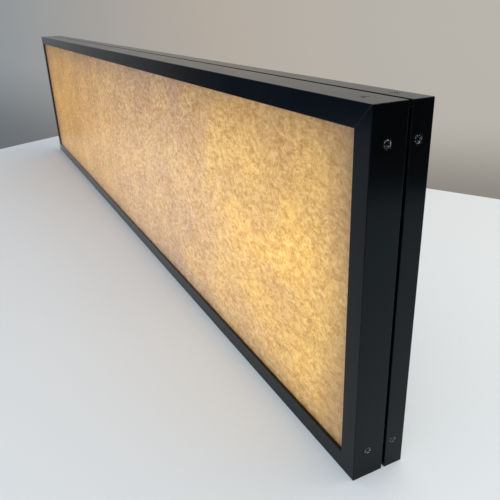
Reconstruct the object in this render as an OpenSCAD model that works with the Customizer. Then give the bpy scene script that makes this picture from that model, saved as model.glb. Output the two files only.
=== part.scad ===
// Slim light box sign: two mitred angle frames round a folded lighting tray, with an opal acrylic face.
// Millimetres. +X runs along the sign, the lit face looks to -Y, +Z is up, and the origin lies on the
// surface that the sign stands on, under its middle.

/* [Sign] */
// Overall length
sign_length = 1206; // [900:1:1800]
// Overall height
sign_height = 260; // [230:1:420]

/* [Frames] */
// Width of the border on the face and on the back
border_width = 15; // [13:0.5:16]
// Wall thickness of the frame rails
rail_wall = 2.5; // [2.4:0.1:3]
// Depth of the front frame's sides
front_depth = 25; // [22:0.5:32]
// Depth of the rear frame's sides
rear_depth = 15.5; // [15:0.5:20]
// Width of the shadow gap between the two frames
shadow_gap = 2.5; // [1.5:0.1:5]
// Rounding of the rails' long visible edges
rail_edge_radius = 0.5; // [0.3:0.1:0.8]
// Joint line left at each mitre
mitre_gap = 0.1; // [0.05:0.05:0.3]

/* [Face panel] */
// Thickness of the opal acrylic
panel_thickness = 3; // [2:0.5:4]
// Thickness of the protective paper on the acrylic
paper_thickness = 0.2; // [0.1:0.05:0.3]
// Room left round the panel inside the front frame
panel_play = 0.5; // [0.2:0.1:1]
// Glazing bead's leg along the rail
bead_rail_leg = 10; // [8:0.5:10]
// Glazing bead's leg on the panel
bead_panel_leg = 8; // [6:0.5:9]
// Wall thickness of the glazing beads
bead_wall = 1.5; // [1:0.1:2]
// Gap between a bead's end and the corner cleat
bead_end_gap = 1; // [0.5:0.5:3]

/* [Tray] */
// Sheet thickness of the folded tray
tray_sheet = 1.5; // [1:0.1:2]
// Running gap between the tray's wall and the frame rails
tray_play = 0.3; // [0.3:0.05:0.6]
// Inside radius of the tray's bends
tray_bend_radius = 1; // [0.5:0.1:1.5]
// Gap between the tray's front edge and the front cleats
tray_front_gap = 0.3; // [0.3:0.1:1]
// Thickness of the white reflector sheet
reflector_thickness = 0.5; // [0.3:0.1:0.8]
// Margin between the reflector and the tray's walls
reflector_margin = 3; // [2:0.5:6]

/* [Corner cleats] */
// Length of each leg of a corner cleat
cleat_leg = 34; // [30:1:36]
// Thickness of a corner cleat
cleat_thickness = 3; // [2.5:0.5:4]
// Width of the front cleats, along the sign's depth
front_cleat_width = 12; // [10:0.5:13]
// Width of the rear cleats, along the sign's depth
rear_cleat_width = 9; // [8:0.5:9.5]
// Chamfer on a cleat's outer corner
cleat_chamfer = 1.5; // [1:0.5:2]
// Fillet in a cleat's inner corner
cleat_fillet = 2; // [1:0.5:4]

/* [Frame screws] */
// Distance from a sign corner to each frame screw
screw_inset = 22.5; // [16:0.5:26]
// Thread diameter
screw_d = 3; // [2.5:0.5:3.5]
// Diameter of the countersunk head
screw_head_d = 6.2; // [5.8:0.1:7]
// How far a head lies below the rail's surface
screw_head_sink = 0.1; // [0:0.05:0.15]
// Room round a head in its countersink
countersink_play = 0.2; // [0.2:0.05:0.3]
// Room round a thread in a clearance hole
screw_play = 0.2; // [0.1:0.05:0.4]
// Room round a thread in its tapped hole
tapped_play = 0.05; // [0.05:0.01:0.1]
// How far a screw's tip stands out of its cleat
screw_tip = 0.8; // [0.5:0.1:1.5]
// Length of a cross recess's arms
recess_span = 3.4; // [3:0.1:4]
// Width of a cross recess's arms
recess_width = 0.8; // [0.6:0.1:1]
// Depth of a cross recess
recess_depth = 1.2; // [0.8:0.1:1.4]

/* [Lighting] */
// Distance from the sign's top and bottom to the outer LED bars
bar_margin = 50; // [47:1:52]
// Distance from the tray's end walls to the LED bars
bar_end_room = 29; // [26:1:60]
// Width of an LED bar
bar_width = 12; // [11:0.5:13]
// Thickness of an LED bar's board
bar_thickness = 1.6; // [1:0.1:2]
// Distance between LEDs along a bar
led_pitch = 48; // [40:1:60]
// Least distance from a bar's end to its first LED
led_end_room = 16; // [15:1:24]
// Side of a square LED chip
chip_side = 3; // [2:0.1:3]
// Height of an LED chip
chip_height = 0.7; // [0.5:0.1:0.8]
// Radius of a lens dome
lens_radius = 5; // [4:0.1:5.4]
// Radius of the hollow under a lens
lens_hollow_radius = 2.5; // [2.4:0.1:3]
// Diameter of a lens's flange
lens_flange_d = 11; // [11:0.5:12]
// Thickness of a lens's flange
lens_flange = 1; // [0.6:0.1:1.5]
// Shank diameter of the push rivets that hold the bars
push_rivet_d = 3; // [2.5:0.1:3.5]
// Head diameter of a push rivet
push_rivet_head_d = 6; // [5.5:0.5:7]
// Head thickness of a push rivet
push_rivet_head = 1.2; // [0.8:0.1:1.6]
// Diameter of a push rivet's spread tail
push_rivet_tail_d = 4.6; // [4.4:0.1:5.5]
// How far a push rivet's tail stands behind the tray
push_rivet_tail = 1.4; // [1:0.1:2]

/* [Wiring] */
// Length of a bar's wire connector, along the bar
connector_length = 8; // [6:0.5:9]
// Width of a wire connector
connector_width = 10; // [9.5:0.5:11]
// Height of a wire connector
connector_height = 4.2; // [3.6:0.2:5]
// Distance between the wires in a connector
wire_pitch = 2.2; // [2:0.1:2.4]
// Diameter of a wire
wire_d = 1.4; // [1:0.1:1.6]
// Room round a wire in its connector
wire_play = 0.2; // [0.1:0.05:0.25]
// How far a wire goes into its connector
wire_insert = 3; // [2:0.5:4]
// How far the handles of the wire loops reach out beyond the bars' ends
wire_swing = 20; // [14:1:24]
// How far the handles of the wires at the socket reach out from its tabs
tab_swing = 60; // [56:1:64]
// How much further the outer wire of a pair reaches out than the inner one
wire_nest = 4.4; // [4:0.2:5]
// Solder between a wire and its tab
solder_gap = 0.1; // [0.05:0.05:0.3]

/* [Power socket] */
// Distance from the sign's left end to the socket
socket_inset = 83; // [75:1:120]
// Height of the socket above the sign's bottom
socket_height = 30; // [27:0.5:31]
// Thread diameter of the socket's barrel
socket_barrel_d = 8; // [7.5:0.5:10]
// Length of the socket from its flange to its inner end
socket_length = 12; // [11:0.5:14]
// Diameter of the socket's flange
socket_flange_d = 11; // [10.5:0.5:14]
// Thickness of the socket's flange
socket_flange = 1.8; // [1:0.1:2]
// Bore that takes the plug
plug_bore_d = 5.7; // [5:0.1:6]
// Depth of the plug's bore from the flange's face
plug_bore_depth = 10.5; // [9:0.5:11]
// Diameter of the centre pin
socket_pin_d = 2; // [1.5:0.1:2.5]
// How far the centre pin ends below the flange's face
socket_pin_sink = 1; // [0.5:0.1:2]
// Width of the socket's nut across its flats
socket_nut_flats = 11; // [11:0.5:14]
// Thickness of the socket's nut
socket_nut = 2.2; // [1.8:0.1:3]
// Length of a solder tab
tab_length = 5; // [4:0.5:6]
// Width of a solder tab
tab_width = 2; // [1.6:0.1:2.4]
// Thickness of a solder tab
tab_thickness = 0.5; // [0.4:0.1:0.8]

/* [Keyhole plates] */
// Distance from the sign's ends to the keyholes
keyhole_inset = 203; // [120:1:300]
// Distance from the sign's top to the keyholes' entries
keyhole_drop = 34; // [33:0.5:34.5]
// Diameter of a keyhole's entry
keyhole_entry_d = 9; // [8:0.5:10]
// Width of a keyhole's slot
keyhole_slot_w = 4.6; // [4:0.1:5.5]
// Distance from a keyhole's entry to the end of its slot
keyhole_travel = 9; // [7:0.5:9.5]
// Length of a keyhole plate
hanger_length = 56; // [50:1:70]
// Plate left above and below a keyhole's centres
hanger_margin = 8; // [7:0.5:8]
// Thickness of a keyhole plate
hanger_thickness = 1.5; // [1:0.1:1.6]
// Corner radius of a keyhole plate
hanger_corner = 4; // [1:0.5:6]
// Width of the window behind a keyhole, for the hanging screw's head
head_window_w = 14; // [12:0.5:15]
// Shank diameter of the plates' rivets
hanger_rivet_d = 3.2; // [2.4:0.1:4]
// Head diameter of the plates' rivets
hanger_rivet_head_d = 6.4; // [5.5:0.1:7.5]
// Head thickness of the plates' rivets
hanger_rivet_head = 0.8; // [0.5:0.1:0.9]
// Distance from a plate's end to its rivet
hanger_rivet_inset = 7; // [6:0.5:9]
// Room round every rivet in its holes
rivet_play = 0.1; // [0.05:0.05:0.2]

/* [Hidden] */
$fn = 48;
// Overlap that keeps cuts clean
cut = 0.5;

// Depths behind the lit face's border, front to back
sign_depth = front_depth + shadow_gap + rear_depth;
paper_back = rail_wall + paper_thickness;
panel_back = paper_back + panel_thickness;
front_cleat_back = panel_back + front_cleat_width;
tray_front = front_cleat_back + tray_front_gap;
tray_back = sign_depth - rail_wall;
tray_floor = tray_back - tray_sheet;
rear_cleat_back = tray_floor - tray_bend_radius;
rear_cleat_front = rear_cleat_back - rear_cleat_width;
reflector_front = tray_floor - reflector_thickness;
bar_front = reflector_front - bar_thickness;
front_screw_depth = panel_back + front_cleat_width / 2;
rear_screw_depth = sign_depth - rear_cleat_back + rear_cleat_width / 2;

// Distances in from the sign's outer faces
tray_inset = rail_wall + tray_play;
rear_cleat_inset = tray_inset + tray_sheet;
cleat_reach = rail_wall + cleat_leg;

// The tray
tray_bend_outer = tray_bend_radius + tray_sheet;
tray_length = sign_length - 2 * tray_inset;
tray_height = sign_height - 2 * tray_inset;
tray_inner_length = tray_length - 2 * tray_sheet;

// The LED bars: each runs along X, with its LEDs spread evenly about its middle
BAR_NAMES = ["lower", "middle", "upper"];
bar_length = tray_inner_length - 2 * bar_end_room;
bar_rise = sign_height / 2 - bar_margin;
led_count = 2 * floor((bar_length - 2 * led_end_room + led_pitch) / led_pitch / 2);
push_rivet_gaps = [1, floor(led_count / 3), led_count - floor(led_count / 3), led_count - 1];
function bar_z(name) = sign_height / 2 + bar_rise * (search([name], BAR_NAMES)[0] - 1);
function led_x(index) = (index - (led_count - 1) / 2) * led_pitch;
function rivet_x(gap) = (gap - led_count / 2) * led_pitch;

// The wires: each connector has two wires in, below its middle, and two out, above it
wire_depth = bar_front - connector_height / 2;
connector_face = -bar_length / 2;
wire_slots = [-1.5, -0.5, 0.5, 1.5] * wire_pitch;
wire_steps = 20;
wire_sides = 8;

// The power socket, seen from the front
socket_x = socket_inset - sign_length / 2;
socket_outer = tray_back + socket_flange;
socket_inner = tray_back - socket_length;
plug_bore_floor = socket_outer - plug_bore_depth;
tab_gap = wire_pitch + tab_width;
socket_hole_d = socket_barrel_d + 2 * screw_play;
socket_nut_corners = socket_nut_flats / cos(30);

// The keyhole plates
keyhole_x = sign_length / 2 - keyhole_inset;
keyhole_z = sign_height - keyhole_drop;
hanger_outer = tray_back + hanger_thickness;
hanger_middle_z = keyhole_z + keyhole_travel / 2;
hanger_height = keyhole_travel + 2 * hanger_margin;
hanger_rivet_x = hanger_length / 2 - hanger_rivet_inset;

// Finishes
frame_black = [0.07, 0.075, 0.085];
screw_black = [0.03, 0.03, 0.03];
kraft_paper = [0.80, 0.63, 0.40];
opal_white = [0.95, 0.94, 0.90];
bare_aluminium = [0.72, 0.73, 0.74];
zinc_steel = [0.62, 0.64, 0.66];
brass = [0.78, 0.62, 0.28];
white_board = [0.93, 0.94, 0.95];
lens_clear = [0.85, 0.90, 0.95];
chip_yellow = [0.95, 0.80, 0.30];
black_plastic = [0.10, 0.10, 0.11];
sleeve_red = [0.65, 0.08, 0.06];
sleeve_black = [0.05, 0.05, 0.05];

// Frames of reference

// Stretches an X-Z outline from one depth behind the lit face to another
module through_depth(from_depth, to_depth) {
    translate([0, to_depth - sign_depth / 2, 0])
        rotate([90, 0, 0])
            linear_extrude(to_depth - from_depth) children();
}

// Moves what is drawn for the bottom rail, with its outer face at Z = 0, to any side of the sign
module on_side(side) {
    if (side == "bottom") children();
    if (side == "top") translate([0, 0, sign_height]) rotate([0, 180, 0]) children();
    if (side == "left") translate([-sign_length / 2, 0, sign_height / 2]) rotate([0, 90, 0]) children();
    if (side == "right") translate([sign_length / 2, 0, sign_height / 2]) rotate([0, -90, 0]) children();
}

// Moves what is drawn for the bottom left corner, with the sign's corner at the origin, to any corner
module at_corner(corner) {
    translate([corner.x * sign_length / 2, 0, (corner.y + 1) * sign_height / 2])
        mirror([corner.x > 0 ? 1 : 0, 0, 0])
            mirror([0, 0, corner.y > 0 ? 1 : 0])
                children();
}

// Puts the front at Y = 0 at the lit face
module from_front() {
    translate([0, -sign_depth / 2, 0]) children();
}

// Turns a piece of the front frame round, so that Y = 0 lies at the back
module from_back() {
    mirror([0, 1, 0]) translate([0, -sign_depth / 2, 0]) children();
}

SIDES = ["top", "bottom", "left", "right"];
function rail_run(side) = side == "left" || side == "right" ? sign_height : sign_length;

// Frame rails

// Waste outside a rounded corner at the origin
module corner_waste(radius) {
    difference() {
        translate([-cut, -cut]) square(radius + cut);
        translate([radius, radius]) circle(radius);
    }
}

// Angle section: depth along X, distance in from the outer face along Y
module angle_section(side_depth) {
    difference() {
        union() {
            square([side_depth, rail_wall]);
            square([rail_wall, border_width]);
        }
        corner_waste(rail_edge_radius);
        translate([side_depth, 0]) mirror([1, 0]) corner_waste(rail_edge_radius);
        translate([0, border_width]) mirror([0, 1]) corner_waste(rail_edge_radius);
    }
}

// Outline that cuts both ends of a rail at 45 degrees
module mitre_outline(run) {
    outer = run / 2 - mitre_gap / sqrt(2);
    inner = border_width + cut;
    polygon([
        [-outer - cut, -cut], [outer + cut, -cut],
        [outer - inner, inner], [inner - outer, inner]
    ]);
}

// Countersunk hole through a rail's side, from Z = 0 inwards
module countersunk_hole() {
    clear_d = screw_d + 2 * screw_play;
    mouth_d = screw_head_d + 2 * countersink_play;
    translate([0, 0, -cut]) cylinder(d = clear_d, h = rail_wall + 2 * cut);
    cylinder(d1 = mouth_d, d2 = clear_d, h = (mouth_d - clear_d) / 2);
    translate([0, 0, -cut]) cylinder(d = mouth_d, h = cut);
}

module mitred_rail(run, side_depth, screw_depth) {
    difference() {
        intersection() {
            rotate([90, 0, 90]) linear_extrude(run, center = true) angle_section(side_depth);
            rotate([90, 0, 0]) linear_extrude(4 * side_depth, center = true) mitre_outline(run);
        }
        for (end = [-1, 1])
            translate([end * (run / 2 - screw_inset), screw_depth, 0]) countersunk_hole();
    }
}

module front_rail(side) {
    color(frame_black)
        from_front() on_side(side) mitred_rail(rail_run(side), front_depth, front_screw_depth);
}

module rear_rail(side) {
    color(frame_black)
        from_back() on_side(side) mitred_rail(rail_run(side), rear_depth, rear_screw_depth);
}

// Corner cleats and frame screws

// L-shaped cleat for the bottom left corner, with its outer corner at the origin
module cleat_outline() {
    difference() {
        union() {
            square([cleat_leg, cleat_thickness]);
            square([cleat_thickness, cleat_leg]);
            translate([cleat_thickness, cleat_thickness]) difference() {
                square(cleat_fillet);
                translate([cleat_fillet, cleat_fillet]) circle(cleat_fillet);
            }
        }
        rotate(45) square(cleat_chamfer * sqrt(2), center = true);
    }
}

// Cleat with its two tapped holes, spanning the given depths, set in from the sign's outer faces
module corner_cleat(inset, from_depth, to_depth) {
    hole_y = (from_depth + to_depth) / 2 - sign_depth / 2;
    tapped_d = screw_d + 2 * tapped_play;
    difference() {
        through_depth(from_depth, to_depth) translate([inset, inset]) cleat_outline();
        translate([screw_inset, hole_y, inset - cut])
            cylinder(d = tapped_d, h = cleat_thickness + 2 * cut);
        translate([inset - cut, hole_y, screw_inset])
            rotate([0, 90, 0]) cylinder(d = tapped_d, h = cleat_thickness + 2 * cut);
    }
}

module front_cleat(corner) {
    color(bare_aluminium)
        at_corner(corner) corner_cleat(rail_wall, panel_back, front_cleat_back);
}

module rear_cleat(corner) {
    color(bare_aluminium)
        at_corner(corner) corner_cleat(rear_cleat_inset, rear_cleat_front, rear_cleat_back);
}

// Countersunk screw that enters along +Z, with the rail's surface at Z = 0
module frame_screw(reach) {
    cone = (screw_head_d - screw_d) / 2;
    difference() {
        translate([0, 0, screw_head_sink]) {
            cylinder(d1 = screw_head_d, d2 = screw_d, h = cone);
            cylinder(d = screw_d, h = reach - screw_head_sink);
        }
        for (turn = [0, 90])
            rotate(turn)
                translate([0, 0, screw_head_sink])
                    cube([recess_span, recess_width, 2 * recess_depth], center = true);
    }
}

module frame_screws(screw_depth, reach) {
    for (side = SIDES, end = [-1, 1])
        on_side(side)
            translate([end * (rail_run(side) / 2 - screw_inset), screw_depth, 0]) frame_screw(reach);
}

module front_screws() {
    color(screw_black)
        from_front() frame_screws(front_screw_depth, rail_wall + cleat_thickness + screw_tip);
}

module rear_screws() {
    color(screw_black)
        from_back() frame_screws(rear_screw_depth, rear_cleat_inset + cleat_thickness + screw_tip);
}

// Face panel

// Outline of the acrylic sheet and of the paper that covers it
module panel_outline() {
    panel_inset = rail_wall + panel_play;
    translate([panel_inset - sign_length / 2, panel_inset])
        square([sign_length - 2 * panel_inset, sign_height - 2 * panel_inset]);
}

module masking_paper() {
    color(kraft_paper) through_depth(rail_wall, paper_back) panel_outline();
}

module opal_panel() {
    color(opal_white) through_depth(paper_back, panel_back) panel_outline();
}

// Angle bead behind the panel, between the cleats of one rail
module bead(side) {
    run = rail_run(side) - 2 * (cleat_reach + bead_end_gap);
    color(bare_aluminium)
        from_front() on_side(side)
            rotate([90, 0, 90]) linear_extrude(run, center = true)
                translate([panel_back, rail_wall]) {
                    square([bead_rail_leg, bead_wall]);
                    square([bead_wall, bead_panel_leg]);
                }
}

// Lighting tray

// Folded corner: a wall along X ending at its open edge, a floor along Y, and the bend between them
module folded_section(wall_length, floor_length) {
    difference() {
        square([wall_length, floor_length]);
        translate([wall_length, 0]) mirror([1, 0]) corner_waste(tray_bend_outer);
        difference() {
            translate([-cut, tray_sheet])
                square([wall_length - tray_sheet + cut, floor_length]);
            translate([wall_length - tray_sheet, tray_sheet])
                mirror([1, 0]) corner_waste(tray_bend_radius);
        }
    }
}

// One folded wall with its share of the floor, drawn for the bottom side
module folded_wall(run, floor_length) {
    rotate([90, 0, 90]) linear_extrude(run, center = true)
        translate([tray_front, tray_inset])
            folded_section(tray_back - tray_front, floor_length);
}

// Keyhole outline: a round entry and a slot of the given width above it
module keyhole_outline(entry_d, slot_w) {
    circle(d = entry_d);
    translate([-slot_w / 2, 0]) square([slot_w, keyhole_travel]);
    translate([0, keyhole_travel]) circle(d = slot_w);
}

module at_keyholes() {
    for (end = [-1, 1])
        translate([end * keyhole_x, keyhole_z]) children();
}

module at_hanger_rivets() {
    at_keyholes()
        for (end = [-1, 1])
            translate([end * hanger_rivet_x, keyhole_travel / 2]) children();
}

module at_push_rivets() {
    for (name = BAR_NAMES, gap = push_rivet_gaps)
        translate([rivet_x(gap), bar_z(name)]) children();
}

module lighting_tray() {
    wall_hole_d = screw_d + 2 * screw_play;
    rear_screw_y = sign_depth / 2 - rear_screw_depth;
    color(frame_black)
        difference() {
            from_front() {
                for (side = ["top", "bottom"])
                    on_side(side)
                        folded_wall(tray_length - 2 * tray_bend_outer, tray_height / 2 + cut);
                for (side = ["left", "right"])
                    on_side(side)
                        folded_wall(tray_height - 2 * tray_bend_outer, tray_bend_outer + cut);
            }
            for (side = SIDES, end = [-1, 1])
                on_side(side)
                    translate([end * (rail_run(side) / 2 - screw_inset), rear_screw_y, tray_inset - cut])
                        cylinder(d = wall_hole_d, h = tray_sheet + 2 * cut);
            through_depth(tray_floor - cut, tray_back + cut) {
                at_push_rivets() circle(d = push_rivet_d + 2 * rivet_play);
                at_hanger_rivets() circle(d = hanger_rivet_d + 2 * rivet_play);
                at_keyholes() keyhole_outline(head_window_w, head_window_w);
                translate([socket_x, socket_height]) circle(d = socket_hole_d);
            }
        }
}

module reflector_sheet() {
    inset = rear_cleat_inset + reflector_margin;
    color(white_board)
        difference() {
            through_depth(reflector_front, tray_floor)
                translate([inset - sign_length / 2, inset])
                    square([sign_length - 2 * inset, sign_height - 2 * inset]);
            through_depth(reflector_front - cut, tray_floor + cut) {
                at_push_rivets() circle(d = push_rivet_d + 2 * rivet_play);
                at_hanger_rivets() circle(d = hanger_rivet_head_d + 2 * rivet_play);
                at_keyholes() keyhole_outline(head_window_w, head_window_w);
                translate([socket_x, socket_height]) circle(d = socket_nut_corners + 2 * screw_play);
            }
        }
}

// LED bars

module led_bar(name) {
    color(white_board)
        difference() {
            through_depth(bar_front, reflector_front)
                translate([-bar_length / 2, bar_z(name) - bar_width / 2]) square([bar_length, bar_width]);
            through_depth(bar_front - cut, reflector_front + cut)
                for (gap = push_rivet_gaps)
                    translate([rivet_x(gap), bar_z(name)]) circle(d = push_rivet_d + 2 * rivet_play);
        }
}

// Puts what is drawn on the floor at Z = 0 on a bar's front, standing towards the lit face
module at_leds(name) {
    for (index = [0 : led_count - 1])
        translate([led_x(index), bar_front - sign_depth / 2, bar_z(name)])
            rotate([90, 0, 0]) children();
}

module led_chips(name) {
    color(chip_yellow)
        at_leds(name)
            translate([-chip_side / 2, -chip_side / 2, 0]) cube([chip_side, chip_side, chip_height]);
}

module led_lenses(name) {
    color(lens_clear)
        at_leds(name)
            rotate_extrude()
                difference() {
                    union() {
                        square([lens_flange_d / 2, lens_flange]);
                        translate([0, lens_flange]) intersection() {
                            circle(lens_radius);
                            square(lens_radius);
                        }
                    }
                    circle(lens_hollow_radius);
                }
}

module bar_rivets() {
    color(black_plastic) {
        through_depth(bar_front - push_rivet_head, bar_front) at_push_rivets() circle(d = push_rivet_head_d);
        through_depth(bar_front, tray_back) at_push_rivets() circle(d = push_rivet_d);
        through_depth(tray_back, tray_back + push_rivet_tail) at_push_rivets() circle(d = push_rivet_tail_d);
    }
}

// Wiring

module bar_connectors() {
    color(opal_white)
        for (name = BAR_NAMES)
            difference() {
                through_depth(bar_front - connector_height, bar_front)
                    translate([connector_face, bar_z(name) - connector_width / 2])
                        square([connector_length, connector_width]);
                for (slot = wire_slots)
                    translate([connector_face - cut, wire_depth - sign_depth / 2, bar_z(name) + slot])
                        rotate([0, 90, 0])
                            cylinder(d = wire_d + 2 * wire_play, h = wire_insert + 2 * cut);
            }
}

// Point on a smooth curve from start to finish, led by two handles
function curve_point(start, start_lead, finish_lead, finish, t) =
    pow(1 - t, 3) * start + 3 * t * pow(1 - t, 2) * start_lead
    + 3 * t * t * (1 - t) * finish_lead + pow(t, 3) * finish;

function unit(v) = v / norm(v);

// Ring of points round a curve's point, square to its run and turned by the depth direction
function wire_ring(point, run) =
    let (across = unit(cross(run, [0, 1, 0])), along = cross(across, run))
    [for (side = [0 : wire_sides - 1])
        let (turn = 360 * side / wire_sides)
        point + wire_d / 2 * (cos(turn) * across + sin(turn) * along)];

// Round wire that is held straight along X at both ends and swings out to -X between them
module wire(start, start_held, start_swing, finish, finish_held, finish_swing) {
    start_lead = start - [start_swing, 0, 0];
    finish_lead = finish - [finish_swing, 0, 0];
    path = concat(
        [start + [start_held, 0, 0]],
        [for (step = [0 : wire_steps])
            curve_point(start, start_lead, finish_lead, finish, step / wire_steps)],
        [finish + [finish_held, 0, 0]]
    );
    last = len(path) - 1;
    runs = [for (ring = [0 : last]) unit(path[min(ring + 1, last)] - path[max(ring - 1, 0)])];
    points = [for (ring = [0 : last]) each wire_ring(path[ring], runs[ring])];
    skin = [for (ring = [0 : last - 1], side = [0 : wire_sides - 1])
        let (
            a = ring * wire_sides + side,
            b = ring * wire_sides + (side + 1) % wire_sides
        )
        each [[a, b, b + wire_sides], [a, b + wire_sides, a + wire_sides]]];
    first_cap = [for (side = [wire_sides - 1 : -1 : 0]) side];
    last_cap = [for (side = [0 : wire_sides - 1]) last * wire_sides + side];
    polyhedron(points, concat(skin, [first_cap, last_cap]), convexity = 4);
}

// One pole's wires: from its tab on the socket to the lower bar, then from bar to bar
module link_wires(pole, sleeve) {
    y = wire_depth - sign_depth / 2;
    tab_x = socket_x - tab_length;
    tab_y = socket_inner - tab_thickness - wire_d / 2 - solder_gap - sign_depth / 2;
    nest = pole * wire_nest;
    last_slot = len(wire_slots) - 1;
    color(sleeve) {
        wire(
            [tab_x, tab_y, socket_height + (0.5 - pole) * tab_gap], tab_length / 2, tab_swing + nest,
            [connector_face, y, bar_z("lower") + wire_slots[pole]], wire_insert, wire_swing + nest
        );
        for (link = [["lower", "middle"], ["middle", "upper"]])
            wire(
                [connector_face, y, bar_z(link[0]) + wire_slots[last_slot - pole]],
                wire_insert, wire_swing + nest,
                [connector_face, y, bar_z(link[1]) + wire_slots[pole]],
                wire_insert, wire_swing + nest
            );
    }
}

// Power socket

module power_socket() {
    color(black_plastic)
        difference() {
            union() {
                through_depth(socket_inner, tray_back)
                    translate([socket_x, socket_height]) circle(d = socket_barrel_d);
                through_depth(tray_back, socket_outer)
                    translate([socket_x, socket_height]) circle(d = socket_flange_d);
            }
            through_depth(plug_bore_floor, socket_outer + cut)
                translate([socket_x, socket_height]) circle(d = plug_bore_d);
        }
}

module socket_nut() {
    color(zinc_steel)
        difference() {
            through_depth(tray_floor - socket_nut, tray_floor)
                translate([socket_x, socket_height]) circle(d = socket_nut_corners, $fn = 6);
            through_depth(tray_floor - socket_nut - cut, tray_floor + cut)
                translate([socket_x, socket_height]) circle(d = socket_barrel_d + 2 * tapped_play);
        }
}

module socket_pin() {
    color(brass)
        through_depth(plug_bore_floor, socket_outer - socket_pin_sink)
            translate([socket_x, socket_height]) circle(d = socket_pin_d);
}

// Two flat tabs on the socket's inner end, bent towards the sign's left end
module socket_tabs() {
    color(brass)
        for (pole = [-0.5, 0.5])
            through_depth(socket_inner - tab_thickness, socket_inner)
                translate([socket_x - tab_length, socket_height + pole * tab_gap - tab_width / 2])
                    square([tab_length, tab_width]);
}

// Keyhole plates

module rounded_plate(size, radius) {
    difference() {
        square(size, center = true);
        for (x = [-1, 1], y = [-1, 1])
            mirror([x > 0 ? 1 : 0, 0]) mirror([0, y > 0 ? 1 : 0])
                translate(-size / 2) corner_waste(radius);
    }
}

// end is -1 for the left plate and 1 for the right one, seen from the front
module hanger_plate(end) {
    color(zinc_steel)
        difference() {
            through_depth(tray_back, hanger_outer)
                translate([end * keyhole_x, hanger_middle_z])
                    rounded_plate([hanger_length, hanger_height], hanger_corner);
            through_depth(tray_back - cut, hanger_outer + cut) {
                translate([end * keyhole_x, keyhole_z])
                    keyhole_outline(keyhole_entry_d, keyhole_slot_w);
                at_hanger_rivets() circle(d = hanger_rivet_d + 2 * rivet_play);
            }
        }
}

module hanger_rivets() {
    color(zinc_steel) {
        through_depth(hanger_outer, hanger_outer + hanger_rivet_head)
            at_hanger_rivets() circle(d = hanger_rivet_head_d);
        through_depth(tray_floor, hanger_outer)
            at_hanger_rivets() circle(d = hanger_rivet_d);
        through_depth(tray_floor - hanger_rivet_head, tray_floor)
            at_hanger_rivets() circle(d = hanger_rivet_head_d);
    }
}

front_rail("top");  // front_rail_top
front_rail("bottom");  // front_rail_bottom
front_rail("left");  // front_rail_left
front_rail("right");  // front_rail_right
front_cleat([-1, 1]);  // front_cleat_top_left
front_cleat([1, 1]);  // front_cleat_top_right
front_cleat([-1, -1]);  // front_cleat_bottom_left
front_cleat([1, -1]);  // front_cleat_bottom_right
front_screws();
masking_paper();
opal_panel();
bead("top");  // bead_top
bead("bottom");  // bead_bottom
bead("left");  // bead_left
bead("right");  // bead_right
rear_rail("top");  // rear_rail_top
rear_rail("bottom");  // rear_rail_bottom
rear_rail("left");  // rear_rail_left
rear_rail("right");  // rear_rail_right
rear_cleat([-1, 1]);  // rear_cleat_top_left
rear_cleat([1, 1]);  // rear_cleat_top_right
rear_cleat([-1, -1]);  // rear_cleat_bottom_left
rear_cleat([1, -1]);  // rear_cleat_bottom_right
rear_screws();
lighting_tray();
reflector_sheet();
led_bar("lower");  // led_bar_lower
led_bar("middle");  // led_bar_middle
led_bar("upper");  // led_bar_upper
led_chips("lower");  // led_chips_lower
led_chips("middle");  // led_chips_middle
led_chips("upper");  // led_chips_upper
led_lenses("lower");  // led_lenses_lower
led_lenses("middle");  // led_lenses_middle
led_lenses("upper");  // led_lenses_upper
bar_rivets();
bar_connectors();
link_wires(0, sleeve_red);  // red_wires
link_wires(1, sleeve_black);  // black_wires
power_socket();
socket_nut();
socket_pin();
socket_tabs();
hanger_plate(-1);  // hanger_plate_left
hanger_plate(1);  // hanger_plate_right
hanger_rivets();
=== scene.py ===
"""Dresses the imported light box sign: satin black rails, the lit paper face and the fittings behind it."""

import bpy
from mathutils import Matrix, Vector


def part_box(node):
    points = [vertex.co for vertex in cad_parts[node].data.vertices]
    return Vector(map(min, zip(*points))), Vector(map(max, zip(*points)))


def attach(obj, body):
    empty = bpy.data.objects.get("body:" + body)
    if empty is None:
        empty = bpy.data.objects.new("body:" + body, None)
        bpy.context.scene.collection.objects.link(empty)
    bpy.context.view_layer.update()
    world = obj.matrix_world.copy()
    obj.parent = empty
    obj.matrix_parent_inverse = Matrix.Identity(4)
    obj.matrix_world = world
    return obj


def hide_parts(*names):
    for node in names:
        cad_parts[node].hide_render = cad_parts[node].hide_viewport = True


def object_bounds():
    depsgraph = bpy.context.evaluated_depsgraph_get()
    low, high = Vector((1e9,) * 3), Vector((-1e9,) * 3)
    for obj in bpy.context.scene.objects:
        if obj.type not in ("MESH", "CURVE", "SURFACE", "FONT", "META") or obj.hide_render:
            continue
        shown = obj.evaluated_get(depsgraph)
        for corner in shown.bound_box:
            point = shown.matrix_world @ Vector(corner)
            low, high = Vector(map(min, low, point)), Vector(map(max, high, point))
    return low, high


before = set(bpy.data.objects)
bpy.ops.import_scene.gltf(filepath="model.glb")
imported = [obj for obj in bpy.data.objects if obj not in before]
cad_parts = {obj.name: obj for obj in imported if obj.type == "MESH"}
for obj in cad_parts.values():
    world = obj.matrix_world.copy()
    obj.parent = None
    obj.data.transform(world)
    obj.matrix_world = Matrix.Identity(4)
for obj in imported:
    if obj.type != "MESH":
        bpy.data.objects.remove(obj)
CAD_BOX = [list(corner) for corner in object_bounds()]

from math import cos, pi, radians, sin, tau

import bmesh
import bpy
from bpy.props import FloatProperty, FloatVectorProperty, PointerProperty
from bpy.types import Operator, Panel, PropertyGroup
from mathutils import Matrix, Vector

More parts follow.
